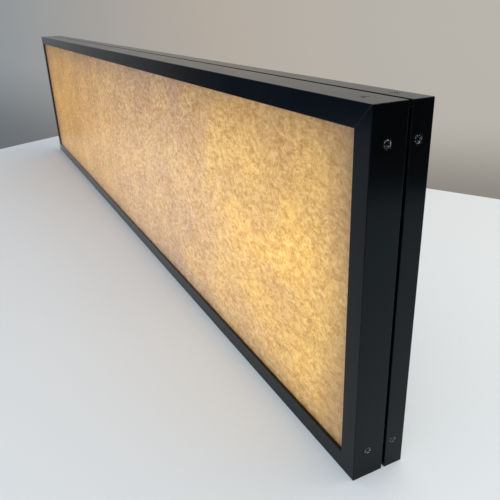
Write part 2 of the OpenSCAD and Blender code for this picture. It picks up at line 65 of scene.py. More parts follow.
bl_info = {
    "name": "Light box sign",
    "version": (1, 0, 0),
    "blender": (4, 5, 0),
    "location": "View3D > Sidebar > Sign",
    "description": "Finishes the sign's rails, lit face, lighting tray and fittings, and sets its stage",
    "category": "Object",
}

MM = 0.001
LOW = Vector(CAD_BOX[0])
HIGH = Vector(CAD_BOX[1])
LENGTH, _, HEIGHT = HIGH - LOW
SENSOR_WIDTH = 36.0
WHITE = (1.0, 1.0, 1.0)

SIDES = ("top", "bottom", "left", "right")
CORNERS = ("top_left", "top_right", "bottom_left", "bottom_right")
BARS = ("lower", "middle", "upper")


def colour_property(name, description, default):
    """A colour that the sidebar shows as a swatch."""
    return FloatVectorProperty(
        name=name, description=description, default=default, size=3, min=0.0, max=1.0, subtype="COLOR"
    )


def length_property(name, description, default):
    """A length in metres."""
    return FloatProperty(
        name=name, description=description, default=default, min=0.0, unit="LENGTH", precision=4
    )


def share_property(name, description, default):
    """A share from 0 to 1."""
    return FloatProperty(
        name=name, description=description, default=default, min=0.0, max=1.0, subtype="FACTOR"
    )


def angle_property(name, description, degrees):
    """An angle, written here in degrees."""
    return FloatProperty(name=name, description=description, default=radians(degrees), subtype="ANGLE")


def power_property(name, description, default):
    """A lamp's power in watts."""
    return FloatProperty(name=name, description=description, default=default, min=0.0, unit="POWER")


def place_property(name, description, default):
    """A place in metres."""
    return FloatVectorProperty(name=name, description=description, default=default, subtype="TRANSLATION")


class SignLooks(PropertyGroup):
    """Colours, finishes and sizes of the sign's pieces."""

    coat_colour: colour_property("Coat", "Satin black coat of the frame rails", (0.0011, 0.0013, 0.0015))
    coat_sheen: colour_property("Coat sheen", "Tint of the light that the coat mirrors", (0.66, 0.86, 1.0))
    coat_roughness: share_property("Coat roughness", "Sheen of the rails' coat, from mirror to matt", 0.17)
    # Also sets how strong the painted highlight lines along the rails' edges and mitres are
    edge_wear_and_highlight: share_property("Edge wear", "How much the coat is rubbed along edges and mitres", 0.5)
    tray_colour: colour_property("Tray", "Matt black coat of the lighting tray", (0.006, 0.006, 0.0065))

    paper_colour: colour_property("Paper", "Masking paper with no light behind it", (0.235, 0.135, 0.035))
    glow_left: colour_property("Left glow", "Light through the paper's left end", (0.470, 0.262, 0.072))
    glow_middle: colour_property("Middle glow", "Light through the paper's middle", (0.562, 0.362, 0.177))
    glow_right: colour_property("Right glow", "Light through the paper's right end", (0.758, 0.452, 0.100))
    thick_fibres: colour_property("Thick fibres", "Tint of the light through thick paper", (0.58, 0.39, 0.06))
    end_fade: share_property("End fade", "Share of the light that is lost at the short ends", 0.75)
    end_fade_reach: length_property("End fade reach", "How far in the ends' fade reaches", 28 * MM)
    top_fade: share_property("Top fade", "Share of the light that is lost at the top edge", 0.50)
    top_fade_reach: length_property("Top fade reach", "How far in the top's fade reaches", 36 * MM)
    bottom_fade: share_property("Bottom fade", "Share of the light that is lost at the bottom edge", 0.49)
    bottom_fade_reach: length_property("Bottom fade reach", "How far in the bottom's fade reaches", 13 * MM)
    bright_height: length_property("Brightest height", "Height of the face's brightest part", 145 * MM)
    paper_mottling: share_property("Mottling", "Contrast of the paper's fibres and flocs", 1.0)

    screw_head: length_property("Screw head", "Diameter of the frame screws' heads", 6.2 * MM)
    screw_sunk: length_property("Screw sunk", "How far the heads lie below the rails' faces", 0.1 * MM)
    screw_core: length_property("Screw core", "Diameter at the root of the frame screws' thread", 2.4 * MM)
    screw_thread: length_property("Screw thread", "Outer diameter of the frame screws' thread", 2.9 * MM)
    screw_pitch: length_property("Thread pitch", "Distance from one thread ridge to the next", 0.5 * MM)
    screw_inset: length_property("Screw inset", "Distance of the screws from the sign's corners", 22.5 * MM)
    front_screw_reach: length_property("Front screw reach", "Depth of the front screws' tips", 6.3 * MM)
    rear_screw_reach: length_property("Rear screw reach", "Depth of the rear screws' tips", 8.1 * MM)

    led_pitch: length_property("LED pitch", "Distance from one LED to the next along a bar", 48 * MM)
    push_rivet_head: length_property("Push rivet head", "Diameter of the push rivets' heads", 6 * MM)
    push_rivet_shank: length_property("Push rivet shank", "Diameter of the push rivets' shanks", 3 * MM)
    push_rivet_outer: FloatProperty(
        name="Outer rivets", description="LED pitches from the middle to the outer rivets", default=11.0
    )
    push_rivet_inner: FloatProperty(
        name="Inner rivets", description="LED pitches from the middle to the inner rivets", default=4.0
    )
    wire_pitch: length_property("Wire pitch", "Distance between the wires in a connector", 2.2 * MM)
    wire_way: length_property("Wire way", "Width of the ways that the wires enter", 1.8 * MM)
    wire_insert: length_property("Wire insert", "Depth of the ways that the wires enter", 3.5 * MM)

    socket_barrel: length_property("Socket barrel", "Thread diameter of the socket's barrel", 8 * MM)
    socket_pitch: length_property("Socket pitch", "Distance between the barrel's thread ridges", 0.75 * MM)
    plug_bore: length_property("Plug bore", "Diameter of the bore that takes the plug", 5.7 * MM)
    plug_bore_depth: length_property("Plug bore depth", "Depth of the plug's bore", 10.5 * MM)

    hanger_rivet_head: length_property("Plate rivet head", "Diameter of the plates' rivet heads", 6.4 * MM)
    hanger_rivet_shank: length_property("Plate rivet shank", "Diameter of the same rivets' shanks", 3.2 * MM)
    hanger_rivet_inset: length_property("Plate rivet inset", "Distance from the plates' ends", 7 * MM)

    led_glow: colour_property("LED glow", "Warm white light of the LEDs", (1.0, 0.84, 0.58))


class StageLooks(PropertyGroup):
    """Table, room light and camera."""

    table_length: length_property("Table length", "Long side of the table", 1.85)
    table_width: length_property("Table width", "Short side of the table", 1.0)
    table_turn: angle_property("Table turn", "Turn of the table under the sign", 27)
    table_corner: FloatVectorProperty(
        name="Table corner", description="Far left corner of the table top",
        default=(-0.787, 0.032), size=2, subtype="XYZ", unit="LENGTH",
    )
    table_colour: colour_property("Table", "White laminate of the table", (0.80, 0.80, 0.795))

    soft_light: colour_property("Soft light", "Even light on matt surfaces", (0.59, 0.63, 0.695))
    wall_near: colour_property("Near wall", "Pale wall behind the sign, to the right", (0.48, 0.46, 0.415))
    wall_middle: colour_property("Middle wall", "The wall behind the sign's middle", (0.46, 0.41, 0.355))
    wall_far: colour_property("Far wall", "The wall in shade, further to the left", (0.25, 0.285, 0.315))
    wall_side: colour_property("Side wall", "The wall past the sign's left end", (0.40, 0.40, 0.415))
    wall_high: colour_property("High wall", "The wall and ceiling above the sign", (0.45, 0.47, 0.49))
    wall_front: colour_property("Front wall", "Plain wall all round, in other views", (0.55, 0.55, 0.545))
    room_shade: colour_property("Dim room", "Mirrored room past the right end", (0.006, 0.008, 0.010))
    room_corner: colour_property("Room corner", "Mirrored room where the wall ends", (0.03, 0.035, 0.04))
    room_window: colour_property("Daylight room", "Mirrored room before the face", (0.06, 0.105, 0.205))
    wall_heading: angle_property("Wall heading", "Heading of the brightest wall", 128)
    key_colour: colour_property("Key colour", "Cool light of the lamp past the right end", (0.76, 0.91, 1.0))
    key_power: power_property("Key lamp", "Power of the lamp past the right end", 23.7)
    key_place: place_property("Key place", "Where the lamp past the right end hangs", (1.95, -0.58, 2.05))
    back_colour: colour_property("Back colour", "Warm light of the lamp behind the sign", (1.0, 0.85, 0.6))
    back_power: power_property("Back lamp", "Power of the lamp behind the sign", 5.6)
    back_place: place_property("Back place", "Where the lamp behind the sign hangs", (0.28, 0.74, 1.05))
    lamp_size: length_property("Lamp size", "Side of both soft lamps", 1.4)

    camera_place: place_property("Camera place", "Where the camera stands", (0.8393, -0.2097, 0.3091))
    camera_pan: angle_property("Camera pan", "Turn about the upright axis", 64.122)
    camera_tilt: angle_property("Camera tilt", "Tilt up from straight down", 66.405)
    camera_roll: angle_property("Camera roll", "Turn about the view's own axis", -2.164)
    camera_lens: FloatProperty(
        name="Lens", description="Focal length on a sensor 36 mm wide", default=40.277, unit="CAMERA"
    )


class Value:
    """One output socket of a node tree. Arithmetic on it adds Math nodes to the same tree."""

    def __init__(self, nodes, socket):
        self.nodes = nodes
        self.socket = socket

    def math(self, operation, *inputs):
        return self.nodes.add("ShaderNodeMath", {"operation": operation}, dict(enumerate(inputs)))

    def __add__(self, other):
        return self.math("ADD", self, other)

    def __radd__(self, other):
        return self.math("ADD", other, self)

    def __sub__(self, other):
        return self.math("SUBTRACT", self, other)

    def __rsub__(self, other):
        return self.math("SUBTRACT", other, self)

    def __mul__(self, other):
        return self.math("MULTIPLY", self, other)

    def __rmul__(self, other):
        return self.math("MULTIPLY", other, self)

    def __truediv__(self, other):
        return self.math("DIVIDE", self, other)

    def __pow__(self, other):
        return self.math("POWER", self, other)

    def __abs__(self):
        return self.math("ABSOLUTE", self)

    def least(self, other):
        return self.math("MINIMUM", self, other)

    def most(self, other):
        return self.math("MAXIMUM", self, other)

    def exponent(self):
        return self.math("EXPONENT", self)

    def cosine(self):
        return self.math("COSINE", self)

    def from_nearest(self, pitch):
        """Signed distance from the nearest whole multiple of pitch."""
        return self - self.math("ROUND", self / pitch) * pitch

    def rise(self, low, high):
        """Goes smoothly from 0 at low to 1 at high."""
        return self.nodes.add(
            "ShaderNodeMapRange", {"interpolation_type": "SMOOTHSTEP"},
            {"Value": self, "From Min": low, "From Max": high, "To Min": 0.0, "To Max": 1.0},
        )

    def between(self, low, high, blur):
        """1 between low and high and 0 outside, with each step blurred over a length."""
        return self.rise(low, low + blur) * (1 - self.rise(high, high + blur))


class Nodes:
    """The nodes of a material or of the world. Every node is made by add()."""

    def __init__(self, tree):
        self.tree = tree

    def add(self, kind, settings=None, inputs=None, output=0):
        """Adds a node, sets it up, feeds its sockets and returns one of its outputs."""
        node = self.tree.nodes.new(kind)
        for name, setting in (settings or {}).items():
            if name == "stops":
                self.set_stops(node.color_ramp, setting)
            else:
                setattr(node, name, setting)
        self.feed(node, inputs or {})
        return Value(self, node.outputs[output])

    def set_stops(self, ramp, stops):
        while len(ramp.elements) < len(stops):
            ramp.elements.new(1.0)
        for element, (position, colour) in zip(ramp.elements, stops):
            element.position = position
            element.color = (*colour, 1.0)

    def feed(self, node, inputs):
        """Links or sets sockets by name or number."""
        for name, value in inputs.items():
            socket = node.inputs[name]
            if isinstance(value, Value):
                self.tree.links.new(value.socket, socket)
            elif socket.type == "RGBA":
                socket.default_value = (*value, 1.0)
            else:
                socket.default_value = value

    def split(self, vector):
        """The three parts of a vector."""
        first = self.add("ShaderNodeSeparateXYZ", inputs={0: vector})
        return [Value(self, socket) for socket in first.socket.node.outputs]

    def mix(self, share, first, second, blend="MIX"):
        """A colour between first, at share 0, and second, at share 1."""
        # This node's sockets share their names between numbers and colours, so they go by number
        settings = {"data_type": "RGBA", "blend_type": blend}
        return self.add("ShaderNodeMix", settings, {0: share, 6: first, 7: second}, output=2)

    def times(self, first, second):
        """Two colours multiplied."""
        return self.mix(1.0, first, second, "MULTIPLY")

    def dim(self, colour, share):
        """A colour times a number."""
        return self.add("ShaderNodeVectorMath", {"operation": "SCALE"}, {0: colour, "Scale": share})

    def noise(self, place, size, detail=2.0, roughness=0.5, distortion=0.0, stretch=(1.0, 1.0, 1.0)):
        """Cloudy noise round 0.5 with patches of about the given size, longer along a stretched axis."""
        squeeze = tuple(1.0 / share for share in stretch)
        squeezed = self.add("ShaderNodeVectorMath", {"operation": "MULTIPLY"}, {0: place, 1: squeeze})
        return self.add(
            "ShaderNodeTexNoise", {},
            {"Vector": squeezed, "Scale": 1.0 / size, "Detail": detail, "Roughness": roughness,
             "Distortion": distortion},
        )


class Finish(Nodes):
    """A material with one Principled shader, and the place on the sign that its patterns read."""

    def __init__(self, name, constants):
        self.material = bpy.data.materials.new(name)
        self.material.use_nodes = True
        super().__init__(self.material.node_tree)
        self.shader = self.tree.nodes["Principled BSDF"]
        self.feed(self.shader, constants)
        self.place = self.add("ShaderNodeTexCoord", output="Object")

    def vary(self, inputs):
        self.feed(self.shader, inputs)

    def turned(self, angle):
        """The place turned about the axis through the sign's face."""
        return self.add("ShaderNodeMapping", inputs={"Vector": self.place, "Rotation": (0.0, angle, 0.0)})

    def relief(self, height, depth):
        """Fine relief: a height from 0 to 1 stands for that depth."""
        self.vary({"Normal": self.add("ShaderNodeBump", inputs={"Height": height, "Distance": depth})})


def dress(material, names):
    """Gives CAD nodes a finish."""
    for name in names:
        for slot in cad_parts[name].material_slots:
            slot.material = material


def satin_coat(looks):
    """Black coat of the rails, a little rubbed along edges, with painted highlight lines along edges and
    mitres, and glossy on the face's lip.
    """
    finish = Finish("satin_black_coat", {
        "IOR": 1.45, "Specular IOR Level": 0.21, "Specular Tint": looks.coat_sheen, "Coat Roughness": 0.12,
    })
    x, y, z = finish.split(finish.place)
    front_low, front_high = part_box("front_rail_top")
    rear_low, rear_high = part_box("rear_rail_top")
    from_end = LENGTH / 2 - abs(x)
    from_side = (z - LOW.z).least(HIGH.z - z)
    inwards = from_end.least(from_side)

    from_face_edge = abs(y - front_low[1])
    for depth in (front_high[1], rear_low[1], rear_high[1]):
        from_face_edge = from_face_edge.least(abs(y - depth))
    edge_distance = (inwards * inwards + from_face_edge * from_face_edge) ** 0.5
    mitre_distance = abs(from_end - from_side) * cos(pi / 4)
    patches = finish.noise(finish.place, 9 * MM, detail=3.0, roughness=0.6).rise(0.2, 0.7)
    # Pale lines: along the edges partly rubbed coat and partly painted highlight of the rounded edges, along
    # the mitres painted highlight of the joint
    edge_rub_and_highlight = 0.12
    mitre_highlight = 0.35
    edges = (1 - edge_distance.rise(0.25 * MM, 0.6 * MM)) * patches * edge_rub_and_highlight
    mitres = (1 - mitre_distance.rise(0.15 * MM, 0.45 * MM)) * (0.5 + patches * 0.5) * mitre_highlight
    rubbed_and_lit = edges.most(mitres) * looks.edge_wear_and_highlight

    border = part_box("front_rail_bottom")[1][2] - LOW.z
    lip_depth = 1 - (y - front_low[1]).rise(2 * MM, 3 * MM)
    lip = inwards.rise(border - 0.4 * MM, border - 0.1 * MM) * lip_depth
    lip_gloss = 0.8

    clouds = finish.noise(finish.place, 35 * MM, detail=3.0)
    grain = finish.noise(finish.place, 0.9 * MM, detail=1.0)
    coat = finish.mix(clouds, looks.coat_colour, [part * 1.5 for part in looks.coat_colour])
    # Pale coat colour of both the rubbed spots and the painted highlights
    rubbed_and_lit_coat = (0.10, 0.105, 0.12)
    finish.vary({
        "Base Color": finish.mix(rubbed_and_lit, coat, rubbed_and_lit_coat),
        "Roughness": looks.coat_roughness + (clouds - 0.5) * 0.08 + rubbed_and_lit * 0.15,
        "Coat Weight": lip * lip_gloss,
    })
    finish.relief(grain, 0.0015 * MM)
    return finish.material


def matt_coat(looks):
    """Matt black coat of the folded tray, with a fine powder grain."""
    finish = Finish("matt_black_coat", {"IOR": 1.45})
    clouds = finish.noise(finish.place, 60 * MM, detail=4.0)
    grain = finish.noise(finish.place, 0.7 * MM, detail=2.0)
    finish.vary({
        "Base Color": finish.mix(clouds, looks.tray_colour, [part * 2.0 for part in looks.tray_colour]),
        "Roughness": 0.5 + (clouds - 0.5) * 0.2,
    })
    finish.relief(grain, 0.02 * MM)
    return finish.material


def mill_aluminium(name, run):
    """Bare extruded aluminium with die lines along one axis."""
    finish = Finish(name, {"Metallic": 1.0})
    lengthwise = [40.0 if axis == run else 1.0 for axis in "xyz"]
    lines = finish.noise(finish.place, 0.35 * MM, detail=2.0, stretch=lengthwise)
    clouds = finish.noise(finish.place, 14 * MM, detail=3.0)
    finish.vary({
        "Base Color": finish.mix(clouds, (0.62, 0.63, 0.64), (0.76, 0.765, 0.77)),
        "Roughness": 0.26 + lines * 0.14 + clouds * 0.1,
    })
    finish.relief(lines, 0.006 * MM)
    return finish.material


def edge_light(distance, reach, fade):
    """Share of the light that is left at a distance from one edge of the face."""
    return 1 - (distance / -reach).exponent() * fade


def lit_paper(looks):
    """Brown masking paper with the LED light shining through its fibres."""
    finish = Finish("lit_masking_paper", {
        "Roughness": 0.35, "Specular IOR Level": 1.0, "Emission Strength": 1.0,
    })
    x, _, z = finish.split(finish.place)
    face_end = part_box("front_rail_right")[0][0]
    face_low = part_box("front_rail_bottom")[1][2]
    face_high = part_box("front_rail_top")[0][2]
    along = (x + face_end) / (2 * face_end)

    # The light falls off towards the edges and away from the bars
    lower_bar, middle_bar, _ = bar_heights()
    bar_ripple = 0.03
    edge_tint = (0.0, 0.0, 0.3)
    from_bright = (z - looks.bright_height) / (face_high - face_low)
    hot = 1 - from_bright * from_bright * along
    ends = edge_light(face_end - abs(x), looks.end_fade_reach, looks.end_fade)
    top = edge_light(face_high - z, looks.top_fade_reach, looks.top_fade)
    bottom = edge_light(z - face_low, looks.bottom_fade_reach, looks.bottom_fade)
    bars = 1 + ((z - lower_bar) * (tau / (middle_bar - lower_bar))).cosine() * bar_ripple
    shade = finish.mix(ends * top * bottom * bars * hot, edge_tint, WHITE)

    # Flocs and crossed fibres let more or less of it through
    flocs = finish.noise(
        finish.place, 5 * MM, detail=4.0, roughness=0.7, distortion=0.3, stretch=(1.8, 1.0, 1.0)
    )
    fibres = 0.0
    for angle in (24, -31, 68, -80):
        turned = finish.turned(radians(angle))
        strands = finish.noise(turned, 1.7 * MM, detail=1.0, stretch=(1.0, 1.0, 3.2))
        fibres = strands.most(fibres)
    usual_fibres = 0.62
    floc_weight = 2.5
    fibre_weight = 2.4
    thin_tint = (1.42, 1.58, 2.05)
    thinness = 0.5 + (flocs - 0.5) * floc_weight + (fibres - usual_fibres) * fibre_weight
    mottled = finish.mix(thinness.rise(-0.4, 1.4), looks.thick_fibres, thin_tint)
    evened = finish.mix(looks.paper_mottling, WHITE, mottled)

    # Wide clouds and drifts tint it
    dull_tint = (0.88, 0.86, 0.95)
    bright_tint = (1.13, 1.15, 1.04)
    drift = 0.2
    clouds = finish.noise(finish.place, 45 * MM, detail=3.0)
    drifts = finish.noise(finish.place, 95 * MM, detail=2.0)
    tinted = finish.mix(clouds.rise(0.25, 0.75), dull_tint, bright_tint)
    glow = finish.add(
        "ShaderNodeValToRGB",
        {"stops": [
            (0.20, looks.glow_left), (0.60, looks.glow_middle),
            (0.75, looks.glow_middle), (0.92, looks.glow_right),
        ]},
        {"Fac": along + (drifts - 0.5) * drift},
    )
    through = finish.times(finish.times(glow, tinted), evened)
    finish.vary({
        "Base Color": finish.dim(looks.paper_colour, 0.85 + fibres * 0.3),
        "Emission Color": finish.times(through, shade),
    })
    finish.relief(fibres, 0.05 * MM)
    return finish.material


def opal_acrylic():
    """Milky acrylic sheet, bright from the LEDs behind it."""
    finish = Finish("opal_acrylic", {"Roughness": 0.22, "IOR": 1.49, "Emission Strength": 0.2})
    clouds = finish.noise(finish.place, 80 * MM, detail=2.0)
    finish.vary({
        "Base Color": finish.mix(clouds, (0.82, 0.81, 0.78), (0.87, 0.865, 0.84)),
        "Emission Color": finish.mix(clouds, (0.62, 0.55, 0.43), (0.72, 0.65, 0.52)),
    })
    return finish.material


def white_reflector():
    """Matt white plastic sheet with a fine emboss."""
    finish = Finish("white_reflector", {"IOR": 1.46})
    emboss = finish.noise(finish.place, 0.8 * MM, detail=1.0)
    clouds = finish.noise(finish.place, 50 * MM, detail=3.0)
    finish.vary({
        "Base Color": finish.mix(clouds, (0.80, 0.80, 0.79), (0.86, 0.86, 0.85)),
        "Roughness": 0.55 + clouds * 0.15,
    })
    finish.relief(emboss, 0.02 * MM)
    return finish.material


def circuit_board(looks, bar):
    """White solder mask over copper tracks, with tinned pads beside each LED."""
    finish = Finish(f"white_board_{bar}", {"IOR": 1.5})
    low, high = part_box(f"led_bar_{bar}")
    pitch = looks.led_pitch
    half_width = (high[2] - low[2]) / 2
    x, _, z = finish.split(finish.place)
    across = abs(z - (low[2] + high[2]) / 2)
    from_led = abs((x + pitch / 2).from_nearest(pitch))
    unbroken = 1 - from_led.rise(0.44 * pitch, 0.45 * pitch)
    tracks = across.between(0.50 * half_width, 0.78 * half_width, 0.04 * half_width) * unbroken
    pad_width = 1 - across.rise(0.20 * half_width, 0.22 * half_width)
    pads = from_led.between(0.30 * pitch, 0.36 * pitch, 0.005 * pitch) * pad_width
    clouds = finish.noise(finish.place, 12 * MM, detail=3.0)
    mask = finish.mix(clouds, (0.80, 0.81, 0.80), (0.86, 0.865, 0.855))
    over_copper = finish.mix(tracks * 0.6, mask, (0.66, 0.67, 0.63))
    finish.vary({
        "Base Color": finish.mix(pads, over_copper, (0.62, 0.62, 0.61)),
        "Metallic": pads * 0.9,
        "Roughness": 0.32 + clouds * 0.1 - pads * 0.08,
    })
    finish.relief(tracks, 0.03 * MM)
    return finish.material


def led_phosphor(looks):
    """Yellow phosphor of the LED chips, lit."""
    finish = Finish("led_phosphor", {"Roughness": 0.4, "Emission Strength": 1.5})
    grains = finish.noise(finish.place, 0.4 * MM, detail=2.0)
    finish.vary({
        "Base Color": finish.mix(grains, (0.80, 0.58, 0.14), (0.88, 0.68, 0.22)),
        "Emission Color": finish.dim(looks.led_glow, 0.85 + grains * 0.3),
    })
    return finish.material


def clear_lens():
    """Clear moulded lens with the faint texture of its mould."""
    finish = Finish("clear_lens", {"IOR": 1.49, "Transmission Weight": 0.92})
    texture = finish.noise(finish.place, 0.6 * MM, detail=2.0)
    finish.vary({
        "Base Color": finish.mix(texture, (0.93, 0.94, 0.94), (0.97, 0.97, 0.96)),
        "Roughness": 0.06 + texture * 0.1,
    })
    return finish.material


def moulded_plastic(name, dark, pale, roughness):
    """Moulded plastic with a fine grain and slight clouds."""
    finish = Finish(name, {"IOR": 1.48})
    grain = finish.noise(finish.place, 0.35 * MM, detail=2.0)
    clouds = finish.noise(finish.place, 4 * MM, detail=3.0)
    finish.vary({
        "Base Color": finish.mix(clouds, dark, pale),
        "Roughness": roughness + (clouds - 0.5) * 0.15,
    })
    finish.relief(grain, 0.01 * MM)
    return finish.material


def plated_metal(name, dark, pale, roughness):
    """Plated or plain sheet metal with rolling lines and a cloudy surface."""
    finish = Finish(name, {"Metallic": 1.0})
    clouds = finish.noise(finish.place, 5 * MM, detail=4.0, roughness=0.6)
    lines = finish.noise(finish.place, 0.25 * MM, detail=2.0, stretch=(18.0, 1.0, 1.0))
    finish.vary({
        "Base Color": finish.mix(clouds, dark, pale),
        "Roughness": roughness + (clouds - 0.5) * 0.22 + (lines - 0.5) * 0.1,
    })
    finish.relief(lines, 0.005 * MM)
    return finish.material


def blackened_screw():
    """Blackened steel, painted bright in patches on a ring and on the recess's rim that the mesh marks:
    partly worn bare steel, partly painted glints.
    """
    finish = Finish("blackened_screw", {"IOR": 1.5, "Specular IOR Level": 0.25})
    wear = finish.add("ShaderNodeAttribute", {"attribute_name": "wear"}, output="Fac")
    patches = finish.noise(finish.place, 0.9 * MM, detail=2.0).rise(0.49, 0.57)
    worn_and_glinting = wear.rise(0.7, 1.0) * patches
    blackened = (0.003, 0.003, 0.0032)
    # Bright bare steel, which paints glints as well as wear
    bare_and_glinting_steel = (0.84, 0.83, 0.80)
    finish.vary({
        "Base Color": finish.mix(worn_and_glinting, blackened, bare_and_glinting_steel),
        "Metallic": worn_and_glinting * 0.3,
        "Roughness": 0.3 + worn_and_glinting * 0.1,
    })
    return finish.material


def spin_outline(bm, outline):
    """Turns pairs of radius and height round Z into a closed solid."""
    corners = [bm.verts.new((radius, 0.0, height)) for radius, height in outline]
    edges = [bm.edges.new(pair) for pair in zip(corners, corners[1:])]
    bmesh.ops.spin(
        bm, geom=corners + edges, cent=(0, 0, 0), axis=(0, 0, 1), angle=tau, steps=32, use_merge=True
    )
    bmesh.ops.remove_doubles(bm, verts=bm.verts, dist=0.001 * MM)
    bmesh.ops.recalc_face_normals(bm, faces=bm.faces)


def cut_across(bm, direction, offsets):
    """Cuts new edges all round a mesh, square to a direction."""
    for offset in offsets:
        everything = bm.verts[:] + bm.edges[:] + bm.faces[:]
        bmesh.ops.bisect_plane(bm, geom=everything, plane_co=direction * offset, plane_no=direction)


def sink(bm, surfaces, way):
    """Pushes faces into a solid and gives the corners of the pockets' floors."""
    sunk = bmesh.ops.extrude_face_region(bm, geom=surfaces)
    bmesh.ops.delete(bm, geom=[surface for surface in surfaces if surface.is_valid], context="FACES_ONLY")
    floor = [part for part in sunk["geom"] if isinstance(part, bmesh.types.BMVert)]
    bmesh.ops.translate(bm, verts=floor, vec=way)
    return floor


def repeat(bm, places):
    """Moves a mesh to the first place and puts a copy of it at each of the others."""
    first = bm.verts[:] + bm.edges[:] + bm.faces[:]
    for place in places[1:]:
        copy = bmesh.ops.duplicate(bm, geom=first)
        corners = [part for part in copy["geom"] if isinstance(part, bmesh.types.BMVert)]
        bmesh.ops.transform(bm, matrix=place, verts=corners)
    first_corners = [part for part in first if isinstance(part, bmesh.types.BMVert)]
    bmesh.ops.transform(bm, matrix=places[0], verts=first_corners)


def finish_mesh(bm, name):
    """Turns a bmesh into an object of the scene, with crisp edges."""
    mesh = bpy.data.meshes.new(name)
    bm.to_mesh(mesh)
    bm.free()
    mesh.set_sharp_from_angle(angle=radians(35))
    piece = bpy.data.objects.new(name, mesh)
    bpy.context.scene.collection.objects.link(piece)
    return piece


def stand_in(bm, node, body, material):
    """Makes a detailed mesh a piece of the sign, in place of its CAD node."""
    for surface in bm.faces:
        surface.smooth = True
    piece = finish_mesh(bm, f"{node}_detailed")
    piece.data.materials.append(material)
    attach(piece, body)
    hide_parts(node)


def model_screw(bm, looks, reach):
    """One countersunk screw along +Z, with its driver's recess open at the head's face near z = 0."""
    head = looks.screw_head / 2
    thread = looks.screw_thread / 2
    core = looks.screw_core / 2
    face = looks.screw_sunk
    rim = 0.12 * MM
    neck = face + rim + head - thread
    # A ring on the head's face and the recess's rim are marked for painted glints of bare steel, standing in
    # for the highlights of the head's rim
    glint_ring = 0.74 * head
    glint_ring_half = 0.1 * MM
    glint_ring_blur = 0.03 * MM
    recess_span = 0.56 * looks.screw_head
    recess_slot = 0.15 * looks.screw_head
    recess_rim = 0.02 * MM
    recess_rim_glint = 0.95
    recess_depth = 1.3 * MM
    recess_taper = 0.45

    outline = [(0.0, face)]
    for step in (-glint_ring_half - glint_ring_blur, -glint_ring_half, glint_ring_half, glint_ring_half + glint_ring_blur):
        outline.append((glint_ring + step, face))
    outline += [(head - rim, face), (head, face + rim), (thread, neck)]
    ridges = int((reach - neck) / looks.screw_pitch)
    for ridge in range(ridges):
        start = neck + ridge * looks.screw_pitch
        outline.append((core, start + looks.screw_pitch / 2))
        outline.append((thread, start + looks.screw_pitch))
    outline += [(core, reach), (0.0, reach)]
    spin_outline(bm, outline)
    for direction in (Vector((1, 0, 0)), Vector((0, 1, 0))):
        cut_across(bm, direction, (-recess_span / 2, -recess_slot / 2, recess_slot / 2, recess_span / 2))

    def in_recess(surface):
        middle = surface.calc_center_median()
        if abs(surface.normal.z) < 0.99 or middle.z > face + rim / 2:
            return False
        near, far = sorted(abs(part) for part in middle.xy)
        return near < recess_slot / 2 and far < recess_span / 2

    # Marks for the screw material: 1 on the ring and near 1 on the recess's rim, where it paints glinting
    # bare steel
    wear = bm.verts.layers.float.new("wear")
    for vert in bm.verts:
        from_ring = abs(vert.co.xy.length - glint_ring)
        if vert.co.z < face + rim / 2 and from_ring < glint_ring_half + glint_ring_blur / 2:
            vert[wear] = 1.0
    rubbed_and_lit = sink(bm, [surface for surface in bm.faces if in_recess(surface)], (0, 0, recess_rim))
    for vert in rubbed_and_lit:
        vert[wear] = recess_rim_glint
    inside = [surface for surface in bm.faces if all(vert in rubbed_and_lit for vert in surface.verts)]
    floor = sink(bm, inside, (0, 0, recess_depth))
    for vert in floor:
        vert[wear] = 0.0
    bmesh.ops.scale(bm, verts=floor, vec=(recess_taper, recess_taper, 1.0))


def screw_places(looks, depth):
    """Matrices that put a screw into each side beside each corner, its head outwards."""
    middle_z = (LOW.z + HIGH.z) / 2
    along = LENGTH / 2 - looks.screw_inset
    up = HEIGHT / 2 - looks.screw_inset
    golden_angle = radians(137.5)
    places = []
    for side in (-1, 1):
        for end in (-1, 1):
            head_up = Matrix.Translation((end * along, depth, middle_z + side * HEIGHT / 2))
            head_out = Matrix.Translation((side * LENGTH / 2, depth, middle_z + end * up))
            places.append(head_up @ Matrix.Rotation(pi if side > 0 else 0.0, 4, "X"))
            places.append(head_out @ Matrix.Rotation(-side * pi / 2, 4, "Y"))
    return [place @ Matrix.Rotation(golden_angle * number, 4, "Z") for number, place in enumerate(places)]


def towards_back(x, y, z):
    """Puts what is drawn along +Z at a place, turned to the sign's back."""
    return Matrix.Translation((x, y, z)) @ Matrix.Rotation(-pi / 2, 4, "X")


def towards_front(x, y, z):
    """Puts what is drawn along +Z at a place, turned to the lit face."""
    return Matrix.Translation((x, y, z)) @ Matrix.Rotation(pi / 2, 4, "X")


def bar_heights():
    """Heights of the LED bars' middles."""
    boxes = [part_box(f"led_bar_{bar}") for bar in BARS]
    return [(low[2] + high[2]) / 2 for low, high in boxes]


def model_push_rivets(bm, looks):
    """The split rivets of the LED bars: a domed head round its pin, and a spread tail behind the tray."""
    head = looks.push_rivet_head / 2
    shank = looks.push_rivet_shank / 2
    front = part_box("led_bar_lower")[0][1]
    low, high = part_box("bar_rivets")
    rise = front - low[1]
    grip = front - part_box("hanger_plate_left")[0][1]
    tip = front - high[1]
    pin = 0.32 * head
    pin_and_groove = [
        (0.0, 0.75 * rise), (pin, 0.75 * rise), (1.1 * pin, 0.6 * rise), (1.25 * pin, 0.6 * rise),
    ]
    dome = [
        (1.35 * pin, rise), (0.64 * head, 0.94 * rise), (0.87 * head, 0.68 * rise),
        (head, 0.3 * rise), (head, 0.0),
    ]
    tail = [
        (shank, 0.0), (shank, grip), (1.5 * shank, grip + 0.35 * (tip - grip)),
        (0.7 * shank, tip), (0.0, tip),
    ]
    spin_outline(bm, pin_and_groove + dome + tail)
    inner = looks.push_rivet_inner * looks.led_pitch
    outer = looks.push_rivet_outer * looks.led_pitch
    repeat(bm, [towards_front(x, front, z) for z in bar_heights() for x in (-outer, -inner, inner, outer)])


